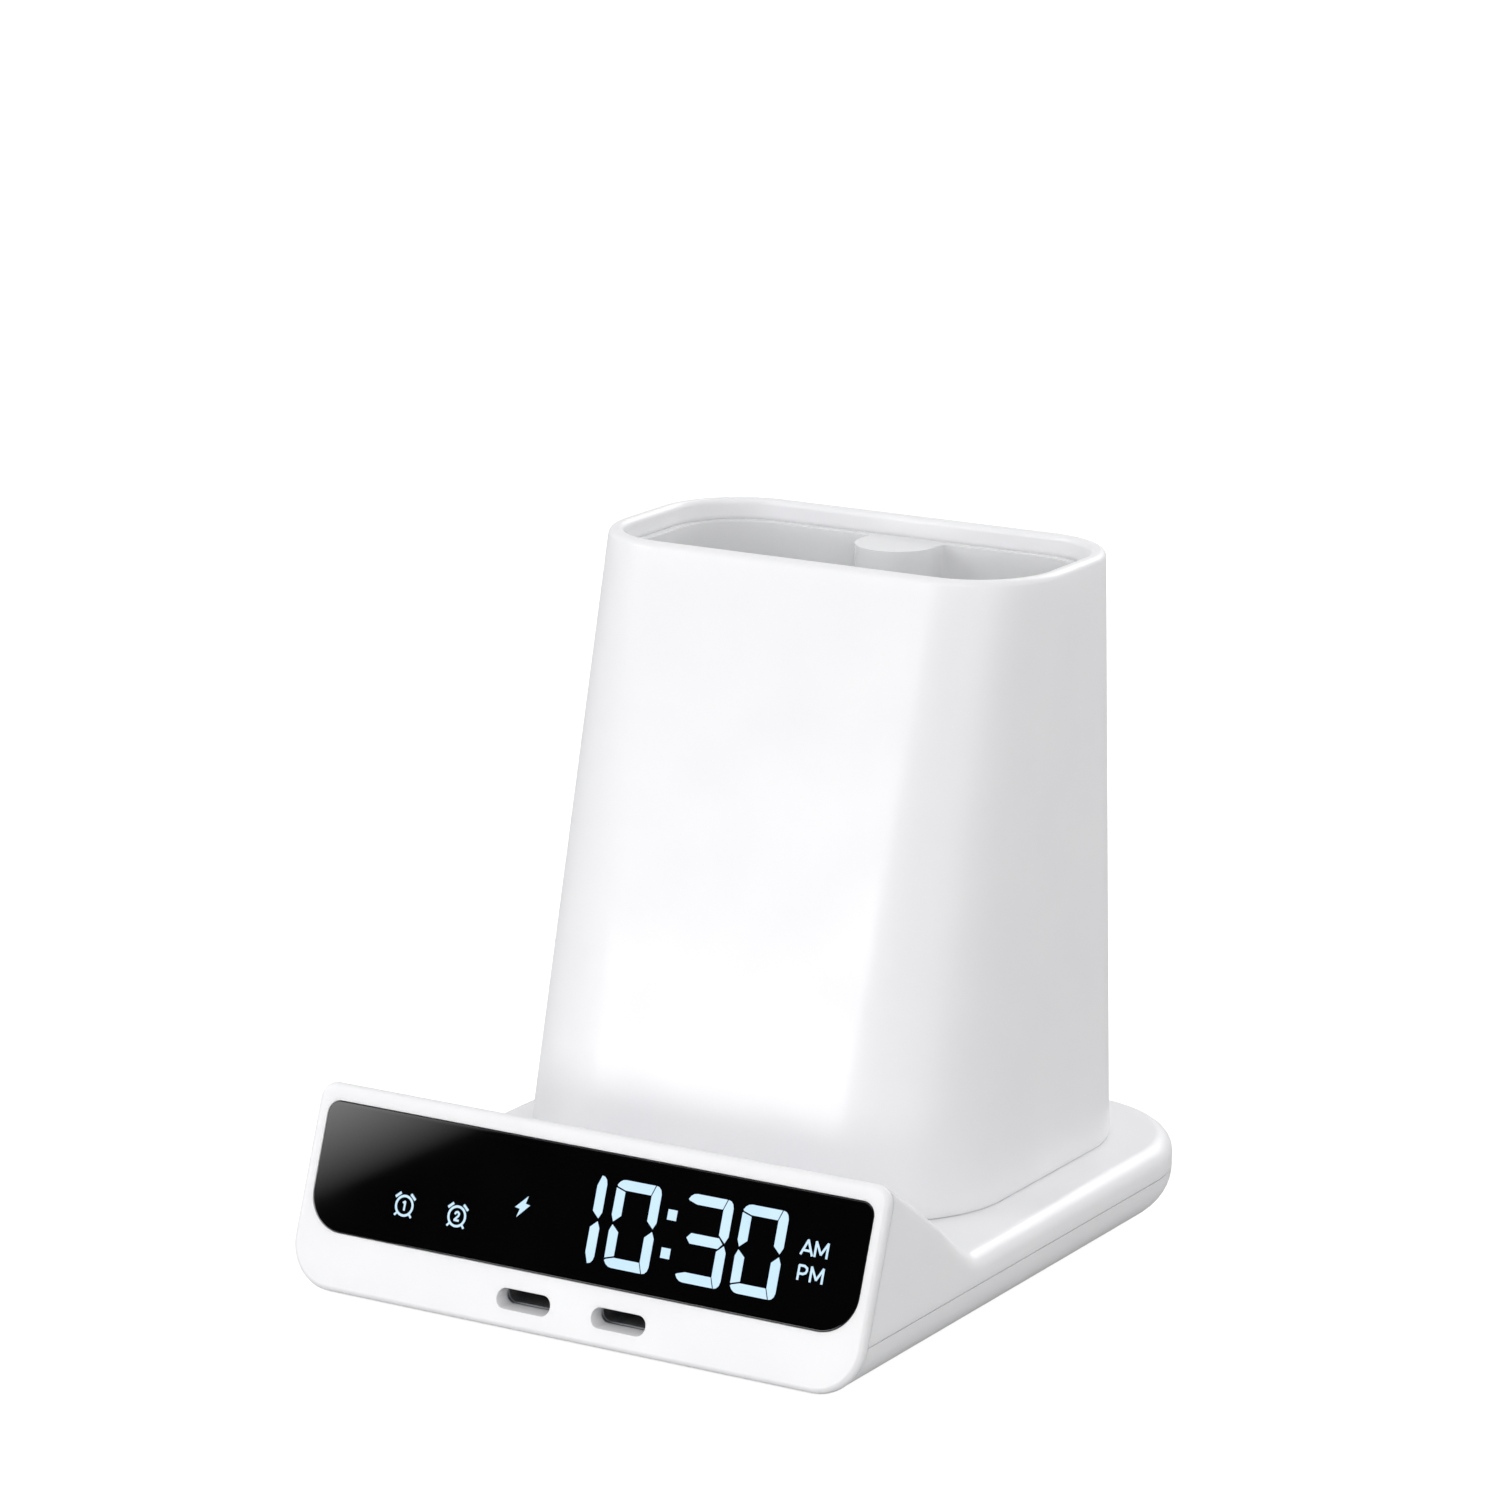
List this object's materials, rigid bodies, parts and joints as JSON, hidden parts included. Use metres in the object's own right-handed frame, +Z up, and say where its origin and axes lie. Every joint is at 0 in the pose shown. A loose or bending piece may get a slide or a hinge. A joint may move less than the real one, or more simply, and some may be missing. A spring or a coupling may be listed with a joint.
{
  "type": "wireless charger pen holder",
  "caption": "Desk pen cup with a leaning wireless charging face, a phone groove and a clock display in the tilted front of its base.",
  "frame": {"origin": "middle of the footprint, at the level of the surface that the feet stand on", "axes": "+Z up, -Y toward the clock face, +X to the right as seen from the front"},
  "size_m": [0.093, 0.1088, 0.099],
  "materials": {
    "white_shell": "white ABS, smooth satin to semi-gloss moulding",
    "inner_white": "white ABS, fine matte moulding",
    "black_gloss": "back-printed black acrylic, polished",
    "mask_black": "black moulded ABS, matte",
    "board_green": "glass-epoxy board with solder mask",
    "screw_steel": "zinc-plated steel",
    "port_steel": "drawn stainless steel shell",
    "black_plastic": "black moulded resin",
    "copper_wire": "enamelled copper wire",
    "ferrite": "sintered ferrite, matte",
    "grey_rubber": "moulded silicone rubber, matte",
    "flex_film": "polyimide flat flex"
  },
  "bodies": {
    "base": {"back_cup_screw": "screw_steel", "back_left_foot": "grey_rubber", "back_left_housing_screw": "screw_steel", "back_right_foot": "grey_rubber", "back_right_housing_screw": "screw_steel", "bottom_tray": "white_shell", "buzzer": "black_plastic", "charger_chip": "black_plastic", "charging_coil": "copper_wire", "clock_chip": "black_plastic", "coil_bracket": "inner_white", "cup_liner": "inner_white", "cup_shell": "white_shell", "display_ribbon": "flex_film", "display_window": "black_gloss", "down_switch": "black_plastic", "ferrite_disc": "ferrite", "front_bezel": "white_shell", "front_left_board_screw": "screw_steel", "front_left_foot": "grey_rubber", "front_left_housing_screw": "screw_steel", "front_right_board_screw": "screw_steel", "front_right_foot": "grey_rubber", "front_right_housing_screw": "screw_steel", "inner_coil_lead": "copper_wire", "led_board": "board_green", "left_cup_screw": "screw_steel", "left_inlet_shell": "port_steel", "left_inlet_tongue": "black_plastic", "light_mask": "mask_black", "lower_left_bracket_screw": "screw_steel", "lower_right_bracket_screw": "screw_steel", "main_board": "board_green", "outer_coil_lead": "copper_wire", "power_inductor": "ferrite", "right_cup_screw": "screw_steel", "right_inlet_shell": "port_steel", "right_inlet_tongue": "black_plastic", "set_switch": "black_plastic", "top_housing": "white_shell", "up_switch": "black_plastic", "upper_left_bracket_screw": "screw_steel", "upper_right_bracket_screw": "screw_steel"},
    "set_key": {"set_button": "white_shell", "set_plunger": "mask_black"},
    "up_key": {"up_button": "white_shell", "up_plunger": "mask_black"},
    "down_key": {"down_button": "white_shell", "down_plunger": "mask_black"}
  },
  "joints": [
    {"name": "set_press", "type": "slide", "parent": "base", "child": "set_key", "axis": [0, -1, 0], "range_m": [0, 0.0005], "stiffness_N_per_m": 1500},
    {"name": "up_press", "type": "slide", "parent": "base", "child": "up_key", "axis": [0, -1, 0], "range_m": [0, 0.0005], "stiffness_N_per_m": 1500},
    {"name": "down_press", "type": "slide", "parent": "base", "child": "down_key", "axis": [0, -1, 0], "range_m": [0, 0.0005], "stiffness_N_per_m": 1500}
  ]
}
